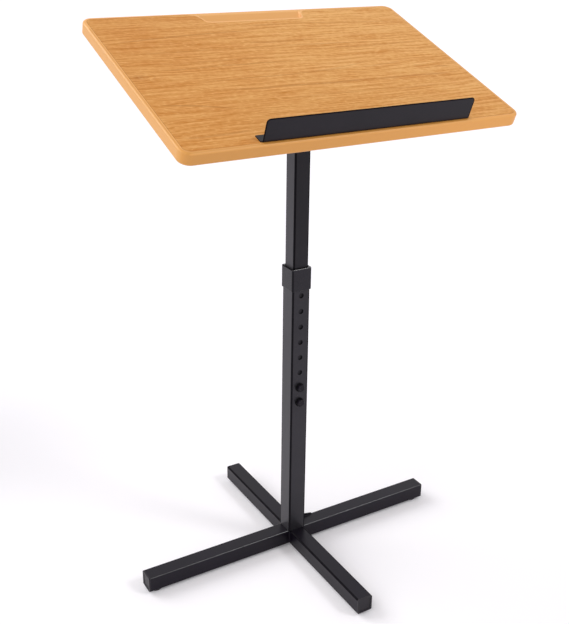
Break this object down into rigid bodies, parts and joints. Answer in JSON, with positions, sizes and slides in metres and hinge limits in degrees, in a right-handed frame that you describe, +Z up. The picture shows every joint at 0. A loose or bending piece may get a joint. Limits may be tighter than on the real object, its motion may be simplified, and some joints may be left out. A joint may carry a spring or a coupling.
{
  "type": "height-adjustable lectern",
  "caption": "Free-standing lectern: sloping wood-grain desk with pen tray and paper stop on a telescopic square column and cross base.",
  "frame": {"origin": "on the floor under the column's axis", "axes": "+X to the reader's right, +Y away from the reader, +Z up; the desk slopes down towards -Y"},
  "size_m": [0.62, 0.5, 0.9871],
  "materials": {
    "base_paint": "satin",
    "column_paint": "satin",
    "mast_paint": "satin",
    "stop_paint": "satin",
    "cap_plastic": "fine matt",
    "glide_plastic": "matt",
    "collar_plastic": "fine matt",
    "black_steel": "black oxide",
    "rim_plastic": "fine matt",
    "zinc_steel": "zinc plated",
    "chipboard": "raw chipboard",
    "backing_sheet": "plain backing sheet",
    "oak_laminate": "oak-pattern laminate, satin"
  },
  "bodies": {
    "base": {"side_tube": "base_paint", "front_leg": "base_paint", "rear_leg": "base_paint", "left_cap": "cap_plastic", "right_cap": "cap_plastic", "front_cap": "cap_plastic", "rear_cap": "cap_plastic", "glides": "glide_plastic", "crush_sleeve": "zinc_steel", "foot_bolt": "zinc_steel", "stop_tab": "base_paint", "column_tube": "column_paint", "foot_plate": "zinc_steel", "foot_nut": "zinc_steel", "collar": "collar_plastic"},
    "mast": {"mast_tube": "mast_paint", "mast_guide": "glide_plastic", "lock_nuts": "zinc_steel", "head_plate": "mast_paint", "head_gussets": "mast_paint", "desk_screws": "zinc_steel", "desk_core": "chipboard", "desk_backing": "backing_sheet", "desk_laminate": "oak_laminate", "desk_rim": "rim_plastic", "pen_tray": "rim_plastic", "paper_stop": "stop_paint", "stop_screws": "zinc_steel"},
    "upper_washer": {"upper_washer": "black_steel"},
    "upper_bolt": {"upper_bolt": "black_steel"},
    "lower_washer": {"lower_washer": "black_steel"},
    "lower_bolt": {"lower_bolt": "black_steel"}
  },
  "joints": [
    {"name": "mast_height", "type": "slide", "parent": "base", "child": "mast", "axis": [0, 0, 1], "range_m": [0, 0.18]},
    {"name": "upper_bolt_travel", "type": "slide", "parent": "mast", "child": "upper_washer", "axis": [0, -1, 0], "range_m": [0, 0.0125]},
    {"name": "upper_bolt_turn", "type": "hinge", "parent": "upper_washer", "child": "upper_bolt", "pos_m": [0, -0.0175, 0.347], "axis": [0, -1, 0], "range_deg": [0, 3605]},
    {"name": "lower_bolt_travel", "type": "slide", "parent": "mast", "child": "lower_washer", "axis": [0, -1, 0], "range_m": [0, 0.0125]},
    {"name": "lower_bolt_turn", "type": "hinge", "parent": "lower_washer", "child": "lower_bolt", "pos_m": [0, -0.0175, 0.317], "axis": [0, -1, 0], "range_deg": [0, 3605]}
  ],
  "couplings": [
    {"joint": "upper_bolt_turn", "follows": "upper_bolt_travel", "rad_per_m": 5026.5},
    {"joint": "lower_bolt_turn", "follows": "lower_bolt_travel", "rad_per_m": 5026.5}
  ]
}
